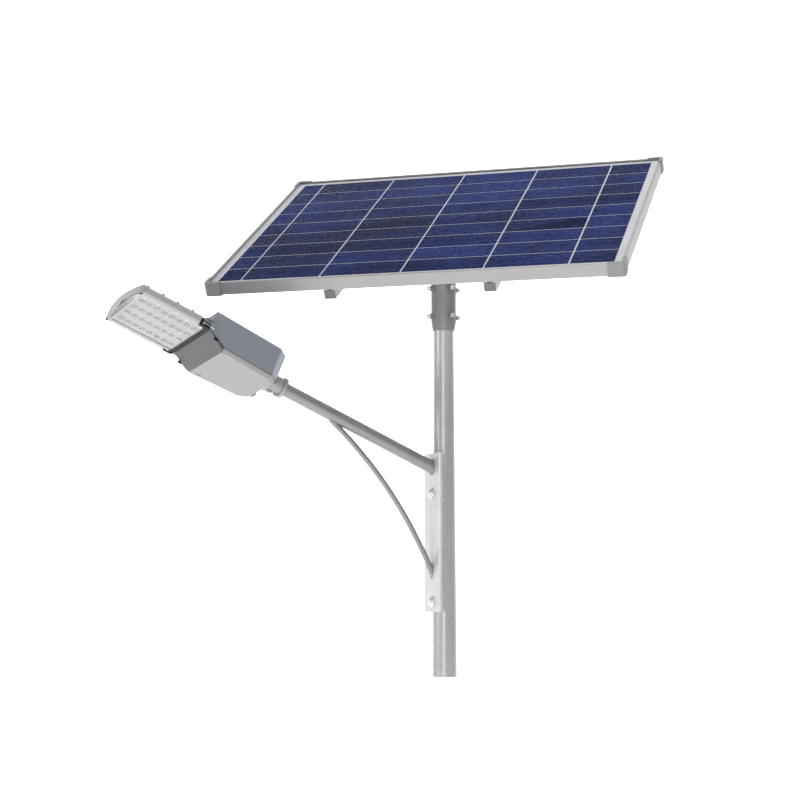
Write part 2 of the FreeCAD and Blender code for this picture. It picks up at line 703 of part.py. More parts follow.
def tray_shape(inset):
    """Lower half of the box: flat floor, bevelled sides, and a face sloping up to the lamp."""
    floor_z = TRAY_BOTTOM + inset
    body = slab(box_outline(inset + 0.5), floor_z, 1)
    bevelled = [edge for edge in body.Edges if edge.BoundBox.ZMax < floor_z + 0.1
                and edge.BoundBox.Center.x < BOX_FRONT - inset - 2]
    body = body.makeChamfer(TRAY_BEVEL, bevelled)
    tip = BOX_FRONT - 1.5 - inset * 1.3
    tip_z = mouth_z(tip) - TRAY_GAP
    profile = [(BOX_REAR, floor_z), (TRAY_SLOPE_X - inset * 0.4, floor_z), (tip, tip_z - 1.2)]
    profile += [(tip, 1), (BOX_REAR, 1)] if inset else [
        (tip, tip_z), (TRAY_SLOPE_X, SEAM_Z - TRAY_GAP), (BOX_REAR, SEAM_Z - TRAY_GAP)]
    return body.common(side_plate(profile, -BOX_HALF_FRONT, BOX_HALF_FRONT))


def hinge_rod(radius, span):
    """Round bar on the cover's hinge axis."""
    return rod(radius, (HINGE_X, span[0], HINGE_Z), (HINGE_X, span[1], HINGE_Z))


def hinge_knuckles(spans, root):
    """Hinge eyes across the rear of the box, each with a foot block to its own part."""
    eyes = []
    foot_low, foot_high = root
    for low, high in spans:
        eye = hinge_rod(HINGE_EYE_R, (low, high))
        foot = box((foot_low[0], low, foot_low[1]), (foot_high[0], high, foot_high[1]))
        eyes.append(eye.fuse(foot))
    return eyes


def both_sides(low, high):
    """The same span on both sides of the head."""
    return [(low, high), (-high, -low)]


def tray():
    """Hinged lower cover with its hinge eyes, a notch round the fitter and a moulded grip."""
    shell = tray_shape(0).cut(tray_shape(BOX_WALL))
    shell = shell.cut(rod(NOTCH_R, (BOX_REAR - 1, 0, 0), (BOX_REAR + BOX_WALL + 2, 0, 0)))
    root = ((HINGE_X, HINGE_Z - HINGE_EYE_R), (BOX_REAR + 3, HINGE_Z + 1))
    shell = shell.fuse(hinge_knuckles(both_sides(69, 81), root))
    grip_x, grip_y = TRAY_SLOPE_X - 26, 40 - BOX_HALF_FRONT
    shell = shell.cut(box((grip_x, grip_y - 16, TRAY_BOTTOM - 1),
                          (grip_x + 12, grip_y + 16, TRAY_BOTTOM + 1.6)))
    return shell.cut(hinge_rod(HINGE_PIN_R + 0.08, (-99, 99))).removeSplitter()


def housing():
    """Upper shell of the box, open below, cut back in front along the tray's slope."""
    shell = slab(box_outline(0), SEAM_Z, BOX_TOP)
    shell = rounded(shell, 7, lambda c, b: b.ZMin > BOX_TOP - 1)
    shell = shell.cut(slab(box_outline(BOX_WALL), SEAM_Z - 1, BOX_TOP - BOX_WALL))
    front = BOX_FRONT + 1
    mouth = side_plate([(front, mouth_z(front)), (front, SEAM_Z - 1), (TRAY_SLOPE_X, SEAM_Z - 1),
                        (TRAY_SLOPE_X, SEAM_Z)], -BOX_HALF_FRONT - 1, BOX_HALF_FRONT + 1)
    shell = shell.cut(mouth)
    root = ((HINGE_X - 2, HINGE_Z), (BOX_REAR, HINGE_Z + 14))
    shell = shell.fuse(hinge_knuckles(both_sides(60, 68) + both_sides(82, 90), root))
    shell = shell.cut(hinge_rod(HINGE_PIN_R, (-99, 99)))
    shell = shell.cut(rod(ARM_R + 1.5, (BOX_REAR - 1, 0, 0), (BOX_REAR + BOX_WALL + 1, 0, 0)))
    return shell.removeSplitter()


def hinge_pins():
    """Two pins of the cover hinge."""
    return [hinge_rod(HINGE_PIN_R, span) for span in both_sides(58, 92)]


def seam_gasket():
    """Black strip between the lamp module and the box."""
    half = BOX_HALF_FRONT - 2.5
    return box((BOX_FRONT + 1, -half, -6.5), (MODULE_IN - 0.4, half, 6))


def heat_sink():
    """Cast back of the module with cross fins, five of them thick, and a neck to the box."""
    half = RAIL_INNER
    body = box((MODULE_IN, -half, 0), (MODULE_OUT, half, MODULE_BASE))
    neck = box((BOX_FRONT, -110, 6), (MODULE_IN, 110, 34))
    parts = [neck, box((MODULE_IN, -110, MODULE_BASE), (MODULE_IN + 4, 110, 34))]
    count = 17
    pitch = (MODULE_OUT - MODULE_IN - 14) / (count - 1)
    for k in range(count):
        x = MODULE_IN + 7 + k * pitch
        thick, top, reach = (2.6, FIN_TOP, MODULE_HALF - 1) if k % 4 == 0 else (1.3, FIN_TOP - 3, half)
        parts.append(fin(x, thick, top, reach))
    return body.fuse(parts).removeSplitter()


def fin(x, thick, top, reach):
    """Cross fin, lower towards both sides."""
    outline = [(-reach, 18.6), (-reach, 22), (-70, top), (70, top), (reach, 22), (reach, 18.6),
               (RAIL_INNER, 18.6), (RAIL_INNER, MODULE_BASE - 1), (-RAIL_INNER, MODULE_BASE - 1),
               (-RAIL_INNER, 18.6)]
    if reach <= RAIL_INNER:
        outline = [(-reach, MODULE_BASE - 1), (-reach, 20), (-70, top), (70, top), (reach, 20),
                   (reach, MODULE_BASE - 1)]
    return end_plate(outline, x - thick, x + thick)


def side_rail(side):
    """Long moulded edge of the lamp module."""
    outline = [(RAIL_INNER, -7), (MODULE_HALF - 5, -7), (MODULE_HALF, -1), (MODULE_HALF, 13),
               (MODULE_HALF - 5, 18), (RAIL_INNER, 18)]
    return end_plate([(side * y, z) for y, z in outline], SIDE_RAIL_IN, MODULE_OUT)


def bow(start_x, straight, bulge, half, low, high):
    """Solid across the head with short straight ends and an edge that bulges outwards."""
    corner_x = start_x + straight
    ends = (Vec(corner_x, -half, low), Vec(corner_x, half, low))
    feet = (Vec(start_x, -half, low), Vec(start_x, half, low))
    arc = Part.Arc(ends[0], Vec(corner_x + bulge, 0, low), ends[1]).toShape()
    path = (ends[1], feet[1], feet[0], ends[0])
    sides = [Part.makeLine(a, b) for a, b in zip(path, path[1:])]
    return Part.Face(Part.Wire([arc] + sides)).extrude(Vec(0, 0, high - low))


def module_end():
    """Bowed end cap across the module's tip, hollowed underneath to a thin rim."""
    body = bow(MODULE_OUT, CAP_SIDE, CAP_BULGE, MODULE_HALF, -7, 18)
    body = rounded(body, 6, lambda c, b: b.ZLength > 10 and abs(c.x - MODULE_OUT - CAP_SIDE) < 1)
    hollow = bow(MODULE_OUT + 2, CAP_SIDE - CAP_RIM - 1, CAP_BULGE - 1, MODULE_HALF - 14, -8, 2)
    return body.cut(hollow)


def led_board():
    """Circuit board on the underside of the heat sink."""
    return box((MODULE_IN + 6, -LENS_HALF + 3, -1.6), (MODULE_OUT - 6, LENS_HALF - 3, 0))


def led_places():
    """Centres of the light sources."""
    pitch_x = (MODULE_OUT - MODULE_IN - 12) / LED_COLUMNS
    pitch_y = (2 * LENS_HALF - 10) / LED_ROWS
    return [(MODULE_IN + 6 + (i + 0.5) * pitch_x, -LENS_HALF + 5 + (j + 0.5) * pitch_y)
            for i in range(LED_COLUMNS) for j in range(LED_ROWS)]


def led_chips():
    """Square light sources soldered on the board."""
    return [box((x - 2, y - 2, -2.4), (x + 2, y + 2, -1.6)) for x, y in led_places()]


def lens_plate():
    """Clear cover with an oval lens over each light source."""
    plate = box((MODULE_IN + 3, -LENS_HALF, LENS_FACE - 1), (MODULE_OUT - 3, LENS_HALF, LENS_FACE + 1))
    lenses = []
    for x, y in led_places():
        ball = Part.makeSphere(12, Vec(0, 0, 0))
        dome = ball.common(Part.makeBox(24, 24, 12, Vec(-12, -12, -12)))
        squash = FreeCAD.Matrix()
        squash.scale(Vec(0.8, 1.5, 0.38))
        lens = dome.transformGeometry(squash).translated(Vec(x, y, LENS_FACE - 0.99))
        lenses.append(lens)
    return plate.fuse(lenses)


def lens_frame():
    """Rim that clamps the lens cover."""
    outer = box((MODULE_IN, -RAIL_INNER, -7), (MODULE_OUT, RAIL_INNER, 0))
    inner = box((MODULE_IN + 3, -LENS_HALF, -8), (MODULE_OUT - 3, LENS_HALF, 1))
    return outer.cut(inner)


def lens_screws():
    """Countersunk screws along the long edges of the rim."""
    screws = []
    for x in range(5):
        place = MODULE_IN + 12 + x * (MODULE_OUT - MODULE_IN - 24) / 4
        for y in (-LENS_HALF - 5, LENS_HALF + 5):
            screws.append(rod(3, (place, y, -8.2), (place, y, -7)))
    return screws


def clip_box(side, x, y, z):
    """Block on one side of the head, given its spans as if on the near side."""
    return box((x[0], min(side * y[0], side * y[1]), z[0]), (x[1], max(side * y[0], side * y[1]), z[1]))


def clip_blocks():
    """Black blocks at the inner corners of the module, each with an eye for a clip's pin."""
    blocks = []
    eye_z = (CLIP_STRIPS[0][1] + 0.3, CLIP_STRIPS[1][0] - 0.3)
    for side in (1, -1):
        body = clip_box(side, BLOCK_X, BLOCK_Y, BLOCK_Z)
        eye = rod(CLIP_EYE_R, (CLIP_X, side * CLIP_Y, eye_z[0]), (CLIP_X, side * CLIP_Y, eye_z[1]))
        root = clip_box(side, (CLIP_X - CLIP_EYE_R, CLIP_X + CLIP_EYE_R), (BLOCK_Y[1], CLIP_Y), eye_z)
        eye = body.fuse([eye, root])
        blocks.append(eye.cut(clip_pin(side)).removeSplitter())
    return blocks


def clip_pin(side, radius=CLIP_PIN_R):
    """Upright pin of one clip."""
    y = side * CLIP_Y
    return rod(radius, (CLIP_X, y, CLIP_STRIPS[0][0] - 1), (CLIP_X, y, CLIP_STRIPS[1][1] + 1))


def clip_lever(side):
    """Bright steel lever of a side clip: two strips rolled round the pin, joined at the grip."""
    inner, outer = CLIP_Y - CLIP_EYE_R, CLIP_Y - 0.2
    strips = []
    for low, high in CLIP_STRIPS:
        strips.append(clip_box(side, (CLIP_TIP_X, CLIP_X), (inner, outer), (low, high)))
        strips.append(rod(CLIP_EYE_R, (CLIP_X, side * CLIP_Y, low), (CLIP_X, side * CLIP_Y, high)))
    span = (CLIP_STRIPS[0][0], CLIP_STRIPS[1][1])
    grip = clip_box(side, (CLIP_TIP_X, CLIP_TIP_X + 6), (inner, outer), span)
    return grip.fuse(strips).cut(clip_pin(side, CLIP_PIN_R + 0.06)).removeSplitter()


def clip_pads():
    """Black catch pads on the sides of the tray's front corners."""
    inside = slab(box_outline(0.5), TRAY_BOTTOM, 1)
    return [clip_box(side, PAD_X, PAD_Y, PAD_Z).cut(inside) for side in (1, -1)]


def gear_plate():
    """Mounting plate hung on four stand-offs from the roof of the box."""
    plate = box((632, -112, 44), (806, 112, 46))
    posts = [rod(4, (x, y, 46), (x, y, BOX_TOP - BOX_WALL)) for x in (644, 794) for y in (-100, 100)]
    return plate.fuse(posts).removeSplitter()


def battery():
    """Wrapped battery block of round cells with rounded long edges."""
    pack = box((650, -104, -8), (800, 16, 44))
    return rounded(pack, 12, lambda c, b: b.XLength > 100)


def battery_straps():
    """Two flat bands that hold the battery to its plate."""
    bands = []
    for x in (680, 770):
        outer = box((x - 7, -106, -9.2), (x + 7, 18, 44))
        bands.append(outer.cut(battery()))
    return bands


def controller():
    """Sealed charge controller and lamp driver with a ribbed case."""
    case = box((650, 30, 8), (770, 100, 44))
    ribs = [box((650 + 6 + k * 12, 32, 5), (653 + 6 + k * 12, 98, 8)) for k in range(9)]
    return case.fuse(ribs).removeSplitter()


def terminal_block():
    """Row of wire terminals beside the controller."""
    block = box((776, 36, 26), (792, 96, 44))
    for k in range(5):
        block = block.cut(rod(2.5, (784, 42 + k * 12, 20), (784, 42 + k * 12, 34)))
    return block


def write_fixed_body():
    """The pole with the arm and its plate."""
    write("pole", pole())
    write("arm_plate", arm_plate())
    write("saddles", saddles())
    write("plate_bolts", plate_bolts())
    write("bolt_washers", bolt_washers())
    write("bolt_nuts", bolt_nuts())
    write("arm", arm())
    write("brace", brace())


def write_post():
    """The turning sleeve and the hinge that it carries."""
    write("sleeve", sleeve(), POST_PLACE)
    write("screw_bosses", screw_bosses(), POST_PLACE)
    write("set_screws", set_screws(), POST_PLACE)
    write("post_cap", post_cap(), POST_PLACE)
    write("post_ears", ears(), POST_PLACE)
    write("tilt_pin", tilt_pin(), POST_PLACE)
    write("lock_bolts", lock_bolts(), POST_PLACE)


def write_panel():
    """The tilting carrier and the solar panel on it."""
    write("beam_lugs", lugs(), PANEL_PLACE)
    write("cross_beam", beam(), PANEL_PLACE)
    write("beam_plugs", beam_plugs(), PANEL_PLACE)
    write("rail_left", rail(-RAIL_X), PANEL_PLACE)
    write("rail_right", rail(RAIL_X), PANEL_PLACE)
    write("rail_plugs", rail_plugs(), PANEL_PLACE)
    write("rail_bolts", rail_bolts(), PANEL_PLACE)
    write("frame_bolts", frame_bolts(), PANEL_PLACE)
    for name, bar in frame_bars().items():
        write(name, bar, PANEL_PLACE)
    write("corner_guards", corner_guards(), PANEL_PLACE)
    write("glass", sheet(CELL_Z, GLASS_TOP), PANEL_PLACE)
    write("solar_cells", cells(), PANEL_PLACE)
    write("backsheet", sheet(SHELF_Z, SHEET_Z), PANEL_PLACE)
    write("junction_box", junction_box(), PANEL_PLACE)
    write("junction_lid", junction_lid(), PANEL_PLACE)
    write("junction_glands", junction_glands(), PANEL_PLACE)


def write_head():
    """The lamp head, its hinged cover and its side clips."""
    write("fitter", fitter(), HEAD_PLACE)
    write("fitter_bolts", fitter_bolts(), HEAD_PLACE)
    write("housing", housing(), HEAD_PLACE)
    write("hinge_pins", hinge_pins(), HEAD_PLACE)
    write("seam_gasket", seam_gasket(), HEAD_PLACE)
    write("heat_sink", heat_sink(), HEAD_PLACE)
    write("side_rail_near", side_rail(1), HEAD_PLACE)
    write("side_rail_far", side_rail(-1), HEAD_PLACE)
    write("module_end", module_end(), HEAD_PLACE)
    write("led_board", led_board(), HEAD_PLACE)
    write("led_chips", led_chips(), HEAD_PLACE)
    write("lens_plate", lens_plate(), HEAD_PLACE)
    write("lens_frame", lens_frame(), HEAD_PLACE)
    write("lens_screws", lens_screws(), HEAD_PLACE)
    write("clip_blocks", clip_blocks(), HEAD_PLACE)
    write("clip_pins", [clip_pin(1), clip_pin(-1)], HEAD_PLACE)
    write("clip_lever_near", clip_lever(1), HEAD_PLACE)
    write("clip_lever_far", clip_lever(-1), HEAD_PLACE)
    write("tray", tray(), HEAD_PLACE)
    write("clip_pads", clip_pads(), HEAD_PLACE)
    write("gear_plate", gear_plate(), HEAD_PLACE)
    write("battery", battery(), HEAD_PLACE)
    write("battery_straps", battery_straps(), HEAD_PLACE)
    write("controller", controller(), HEAD_PLACE)
    write("terminal_block", terminal_block(), HEAD_PLACE)


os.makedirs("parts", exist_ok=True)
write_fixed_body()
write_post()
write_panel()
write_head()
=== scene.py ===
"""Solar street lamp top: the looks, piece by piece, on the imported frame."""
import json
from math import cos, pi, radians, sin

import bmesh
import bpy
from mathutils import Matrix, Vector


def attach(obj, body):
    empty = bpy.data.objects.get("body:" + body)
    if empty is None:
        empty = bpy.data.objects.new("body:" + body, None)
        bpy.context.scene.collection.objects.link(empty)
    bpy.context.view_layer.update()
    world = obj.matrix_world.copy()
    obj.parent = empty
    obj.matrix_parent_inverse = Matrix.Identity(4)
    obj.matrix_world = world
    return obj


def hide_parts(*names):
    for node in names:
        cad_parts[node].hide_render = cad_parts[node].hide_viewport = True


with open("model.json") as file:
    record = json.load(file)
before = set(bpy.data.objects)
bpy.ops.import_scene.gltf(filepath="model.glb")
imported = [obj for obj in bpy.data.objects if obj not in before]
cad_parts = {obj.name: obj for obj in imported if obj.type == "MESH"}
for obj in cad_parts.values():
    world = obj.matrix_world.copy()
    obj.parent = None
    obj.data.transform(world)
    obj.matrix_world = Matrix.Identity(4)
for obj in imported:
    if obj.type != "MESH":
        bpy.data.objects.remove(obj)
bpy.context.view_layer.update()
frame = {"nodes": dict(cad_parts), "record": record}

# ---------------------------------------------------------------- studio
# A white floor that glows softly and sweeps up into a backdrop, under large soft lamps.
# A tall strip lamp draws a bright line down the pole, and a long lens looks slightly up.

MM = 0.001


class Wire:
    """One socket of a node tree, so that maths on it reads as an expression."""

    def __init__(self, bench, socket):
        self.bench = bench
        self.socket = socket

    def __add__(self, other):
        return self.bench.maths("ADD", self, other)

    def __radd__(self, other):
        return self.bench.maths("ADD", other, self)

    def __sub__(self, other):
        return self.bench.maths("SUBTRACT", self, other)

    def __rsub__(self, other):
        return self.bench.maths("SUBTRACT", other, self)

    def __mul__(self, other):
        return self.bench.maths("MULTIPLY", self, other)

    def __rmul__(self, other):
        return self.bench.maths("MULTIPLY", other, self)

    def __truediv__(self, other):
        return self.bench.maths("DIVIDE", self, other)

    def __rtruediv__(self, other):
        return self.bench.maths("DIVIDE", other, self)

    def __lt__(self, other):
        return self.bench.maths("LESS_THAN", self, other)

    def __gt__(self, other):
        return self.bench.maths("GREATER_THAN", self, other)


class NodeBench:
    """A node tree under construction."""

    def __init__(self, tree):
        self.tree = tree

    def node(self, kind, settings=None, sockets=None, output=0):
        """Adds a node: its settings first, then values or wires for its sockets."""
        made = self.tree.nodes.new(kind)
        for name, value in (settings or {}).items():
            if name == "stops":
                ramp = made.color_ramp
                while len(ramp.elements) < len(value):
                    ramp.elements.new(0.5)
                for element, (place, shade) in zip(ramp.elements, value):
                    element.position = place
                    grey = isinstance(shade, float)
                    element.color = (shade, shade, shade, 1) if grey else (*shade, 1)
            else:
                setattr(made, name, value)
        for name, value in (sockets or {}).items():
            if isinstance(value, Wire):
                self.tree.links.new(value.socket, made.inputs[name])
            else:
                made.inputs[name].default_value = value
        return Wire(self, made.outputs[output])

    def maths(self, operation, *terms):
        """A Math node on wires and numbers."""
        return self.node("ShaderNodeMath", {"operation": operation}, dict(enumerate(terms)))

    def split(self, vector):
        """The three numbers of a vector."""
        first = self.node("ShaderNodeSeparateXYZ", {}, {"Vector": vector})
        return [Wire(self, part) for part in first.socket.node.outputs]


class Finish(NodeBench):
    """A material under construction around one main shader."""

    def __init__(self, name, **constants):
        self.material = bpy.data.materials.new(name)
        self.material.use_nodes = True
        super().__init__(self.material.node_tree)
        self.shader = self.tree.nodes["Principled BSDF"]
        for socket, value in constants.items():
            label = socket.replace("_", " ").title().replace("Ior", "IOR")
            self.shader.inputs[label].default_value = value

    def where(self, turn=(0, 0, 0), stretch=(1, 1, 1), shift=(0, 0, 0)):
        """Object coordinates in metres, turned and stretched by a Mapping node."""
        place = self.node("ShaderNodeTexCoord", output=3)
        return self.node("ShaderNodeMapping", {}, {
            "Vector": place, "Rotation": turn, "Scale": stretch, "Location": shift})

    def noise(self, place, scale, detail=4.0):
        """Soft noise between 0 and 1."""
        return self.node("ShaderNodeTexNoise", {}, {
            "Vector": place, "Scale": scale, "Detail": detail, "Roughness": 0.55})

    def chips(self, place, scale):
        """A number between 0 and 1 for each of many small angular patches."""
        colours = self.node("ShaderNodeTexVoronoi", {"feature": "F1"}, {
            "Vector": place, "Scale": scale}, output=1)
        return self.node("ShaderNodeSeparateColor", {}, {"Color": colours})

    def ramp(self, value, stops):
        """A value or colour read off a ramp."""
        return self.node("ShaderNodeValToRGB", {"stops": stops}, {"Fac": value})

    def blend(self, amount, first, second):
        """A colour between two colours."""
        first = first if isinstance(first, Wire) else (*first, 1)
        second = second if isinstance(second, Wire) else (*second, 1)
        return self.node("ShaderNodeMix", {"data_type": "RGBA"}, {
            0: amount, 6: first, 7: second}, output=2)

    def feed(self, **wires):
        """Links what varies over the surface to the shader."""
        for name, wire in wires.items():
            self.tree.links.new(wire.socket, self.shader.inputs[name.replace("_", " ")])

    def bump(self, height, depth):
        """Relief from a height between 0 and 1, of the given depth in metres."""
        relief = self.node("ShaderNodeBump", {}, {
            "Height": height, "Distance": depth, "Strength": 1.0})
        self.tree.links.new(relief.socket, self.shader.inputs["Normal"])


VIEW_TURN = radians(24.17)
VIEW_RISE = radians(5.5)
FORWARD = Vector((sin(VIEW_TURN), cos(VIEW_TURN), 0))
RIGHT = Vector((cos(VIEW_TURN), -sin(VIEW_TURN), 0))
FLOOR_DROP = 1.6
FLOOR_START = -18.0
FLOOR_HALF_WIDTH = 14.0
BACKDROP_AWAY = 7.0
BACKDROP_TOP = 9.0
SWEEP_R = 2.5
SWEEP_STEPS = 12

profile = [(FLOOR_START, 0.0)]
for step in range(SWEEP_STEPS + 1):
    bend = pi / 2 * step / SWEEP_STEPS
    profile.append((BACKDROP_AWAY - SWEEP_R + SWEEP_R * sin(bend), SWEEP_R - SWEEP_R * cos(bend)))
profile.append((BACKDROP_AWAY, BACKDROP_TOP))
corners = []
for reach, rise in profile:
    for side in (-FLOOR_HALF_WIDTH, FLOOR_HALF_WIDTH):
        corners.append(FORWARD * reach + RIGHT * side + Vector((0, 0, rise - FLOOR_DROP)))
paper = Finish("studio_sweep", base_color=(0.93, 0.93, 0.93, 1), roughness=0.9,
               emission_color=(1, 1, 1, 1), emission_strength=0.72)
sheet = bpy.data.meshes.new("studio_sweep")
sheet.from_pydata(corners, [], [(i, i + 1, i + 3, i + 2) for i in range(0, len(corners) - 2, 2)])
sheet.materials.append(paper.material)
sheet.polygons.foreach_set("use_smooth", [True] * len(sheet.polygons))
studio_sweep = bpy.data.objects.new("studio_sweep", sheet)
bpy.context.scene.collection.objects.link(studio_sweep)

world = bpy.context.scene.world or bpy.data.worlds.new("studio")
bpy.context.scene.world = world
world.use_nodes = True
sky = world.node_tree.nodes["Background"]
sky.inputs["Color"].default_value = (1.0, 1.0, 1.0, 1)
sky.inputs["Strength"].default_value = 0.30
bpy.context.scene.view_settings.view_transform = "Standard"


def soft_lamp(name, ahead, right, height, size, power, aim=(0, 0, 0.9), tall=1.0):
    """Area lamp placed by where the camera looks, aimed at the lamp head and panel."""
    lamp = bpy.data.objects.new(name, bpy.data.lights.new(name, "AREA"))
    lamp.data.shape = "RECTANGLE"
    lamp.data.size = size
    lamp.data.size_y = size * tall
    lamp.data.energy = power
    lamp.location = FORWARD * ahead + RIGHT * right + Vector((0, 0, height))
    lamp.rotation_euler = (Vector(aim) - lamp.location).to_track_quat("-Z", "Y").to_euler()
    bpy.context.scene.collection.objects.link(lamp)


soft_lamp("key_lamp", ahead=-1.8, right=-4.6, height=1.4, size=1.4, power=62)
soft_lamp("top_lamp", ahead=0.2, right=1.0, height=5.6, size=2.4, power=150)
soft_lamp("strip_lamp", ahead=-3.4, right=-0.5, height=0.6, size=0.22, power=17,
          aim=(0, 0, 0.6), tall=9.0)
soft_lamp("backdrop_lamp", ahead=3.0, right=0.0, height=1.2, size=3.0, power=160,
          aim=FORWARD * 6.0 + Vector((0, 0, 0.4)))

STAND_TURN = radians(26.0)
CAMERA_AWAY = 4.907
CAMERA_HEIGHT = 0.353
camera = bpy.data.objects.new("camera", bpy.data.cameras.new("camera"))
camera.data.lens = 77.06
camera.data.sensor_width = 36.0
camera.data.shift_x = 0.0063
camera.data.shift_y = -0.0063
camera.location = (-CAMERA_AWAY * sin(STAND_TURN), -CAMERA_AWAY * cos(STAND_TURN), CAMERA_HEIGHT)
camera.rotation_euler = (pi / 2 + VIEW_RISE, 0, -VIEW_TURN)
bpy.context.scene.collection.objects.link(camera)
bpy.context.scene.camera = camera

# ---------------------------------------------------------------- pole
# A tapered steel tube, hot-dip galvanised: pale grey, with a faint spangle and long soft streaks.
# It is bored straight at the foot to sit on the lower pole.

HOME = {}
for body, nodes in frame["record"]["behaviour"]["bodies"].items():
    for node in nodes:
        HOME[node] = body
CORNER_ANGLE = radians(32)


def galvanised(name, light, roughness):
    """Zinc-coated steel with spangle, streaks and fine pitting."""
    zinc = Finish(name, metallic=0.55, roughness=roughness)
    place = zinc.where()
    spangle = zinc.chips(place, 95.0)
    streak = zinc.noise(zinc.where(stretch=(38, 38, 2.2)), 1.0, detail=5.0)
    cloud = zinc.noise(place, 9.0)
    tone = zinc.ramp(spangle * 0.16 + streak * 0.48 + cloud * 0.36, [(0.25, 0.0), (0.72, 1.0)])
    dark = tuple(channel * light * 0.88 for channel in (0.96, 0.98, 1.0))
    pale = tuple(channel * light * 1.08 for channel in (0.985, 0.995, 1.0))
    zinc.feed(Base_Color=zinc.blend(tone, dark, pale),
              Roughness=roughness - 0.04 + spangle * 0.05 + cloud * 0.08)
    zinc.bump(zinc.noise(place, 180.0, detail=3.0), 0.03 * MM)
    return zinc.material


def settled(name, mesh, node, material, rounding=0.0, segments=2):
    """Puts a mesh in the scene in place of a CAD node, on the node's body."""
    mesh.materials.append(material)
    mesh.polygons.foreach_set("use_smooth", [True] * len(mesh.polygons))
    mesh.set_sharp_from_angle(angle=CORNER_ANGLE)
    piece = bpy.data.objects.new(name, mesh)
    bpy.context.scene.collection.objects.link(piece)
    if rounding:
        edge = piece.modifiers.new("rounded_edges", "BEVEL")
        edge.width = rounding
        edge.segments = segments
        edge.limit_method = "ANGLE"
        edge.angle_limit = CORNER_ANGLE
        edge.use_clamp_overlap = True
        edge.harden_normals = True
    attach(piece, HOME[node])
    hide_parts(node)


def turned(name, outline, sides=96):
    """Mesh of an outline of radii and heights turned round the upright axis."""
    work = bmesh.new()
    rings = []
    for radius, height in outline:
        spokes = [2 * pi * k / sides for k in range(sides)]
        rings.append([work.verts.new((radius * cos(a), radius * sin(a), height)) for a in spokes])
    for lower, upper in zip(rings, rings[1:] + rings[:1]):
        for k in range(sides):
            after = (k + 1) % sides
            work.faces.new((lower[k], lower[after], upper[after], upper[k]))
    mesh = bpy.data.meshes.new(name)
    work.to_mesh(mesh)
    work.free()
    return mesh


POLE_LENGTH, POLE_WALL = 1134 * MM, 4 * MM
POLE_FOOT, POLE_TOP = 35.5 * MM, 29 * MM
SOCKET_R, SOCKET_DEPTH = 31 * MM, 160 * MM
POLE_STEPS = 12

zinc_pole = galvanised("galvanised_pole", light=0.52, roughness=0.34)
outline = []
for step in range(POLE_STEPS + 1):
    share = step / POLE_STEPS
    outline.append((POLE_FOOT + (POLE_TOP - POLE_FOOT) * share, POLE_LENGTH * share))
shoulder = POLE_FOOT + (POLE_TOP - POLE_FOOT) * SOCKET_DEPTH / POLE_LENGTH - POLE_WALL
outline += [(POLE_TOP - POLE_WALL, POLE_LENGTH), (shoulder, SOCKET_DEPTH),
            (SOCKET_R, SOCKET_DEPTH), (SOCKET_R, 0)]
settled("pole_finished", turned("pole_finished", outline), "pole", zinc_pole, 0.8 * MM)

# ---------------------------------------------------------------- arm plate
# A channel pressed from 5 mm steel and galvanised after welding; its zinc is made lighter than the
# pole's, as painted light on its face.
# Ribs cut to the pole's round are welded inside it, and two domed bolts draw it tight.


def finished(node, rounding, material, segments=2):
    """A merged copy of a CAD node with rounded edges, which stands for it."""
    mesh = frame["nodes"][node].data.copy()
    work = bmesh.new()
    work.from_mesh(mesh)
    bmesh.ops.remove_doubles(work, verts=work.verts, dist=0.01 * MM)
    bmesh.ops.dissolve_limit(work, angle_limit=radians(0.6), verts=work.verts, edges=work.edges)
    work.to_mesh(mesh)
    work.free()
    mesh.materials.clear()
    settled(f"{node}_finished", mesh, node, material, rounding, segments)


# Painted light: the plate's zinc is lighter than the pole's, standing in for the light on its
# face.
zinc_plate_painted_light = galvanised("galvanised_plate", light=0.66, roughness=0.42)
finished("arm_plate", 1.2 * MM, zinc_plate_painted_light, 3)
finished("saddles", 0.5 * MM, zinc_plate_painted_light)

bolt_zinc = Finish("bolt_zinc", metallic=0.7, roughness=0.3)
wear = bolt_zinc.noise(bolt_zinc.where(), 160.0, detail=5.0)
bolt_zinc.feed(Base_Color=bolt_zinc.ramp(wear, [(0.3, (0.55, 0.56, 0.58)),
                                                (0.7, (0.86, 0.87, 0.88))]),
               Roughness=0.2 + wear * 0.28)
bolt_zinc.bump(bolt_zinc.noise(bolt_zinc.where(), 900.0), 0.05 * MM)
zinc_bolts = bolt_zinc.material
finished("plate_bolts", 0.6 * MM, zinc_bolts)
finished("bolt_washers", 0.4 * MM, zinc_bolts)
finished("bolt_nuts", 0.6 * MM, zinc_bolts)

# ---------------------------------------------------------------- arm and brace
# A 38 mm steel tube mitred to the plate and a bowed round bar under it, welded and galvanised.
# The weld beads are laid in short overlapping scales.


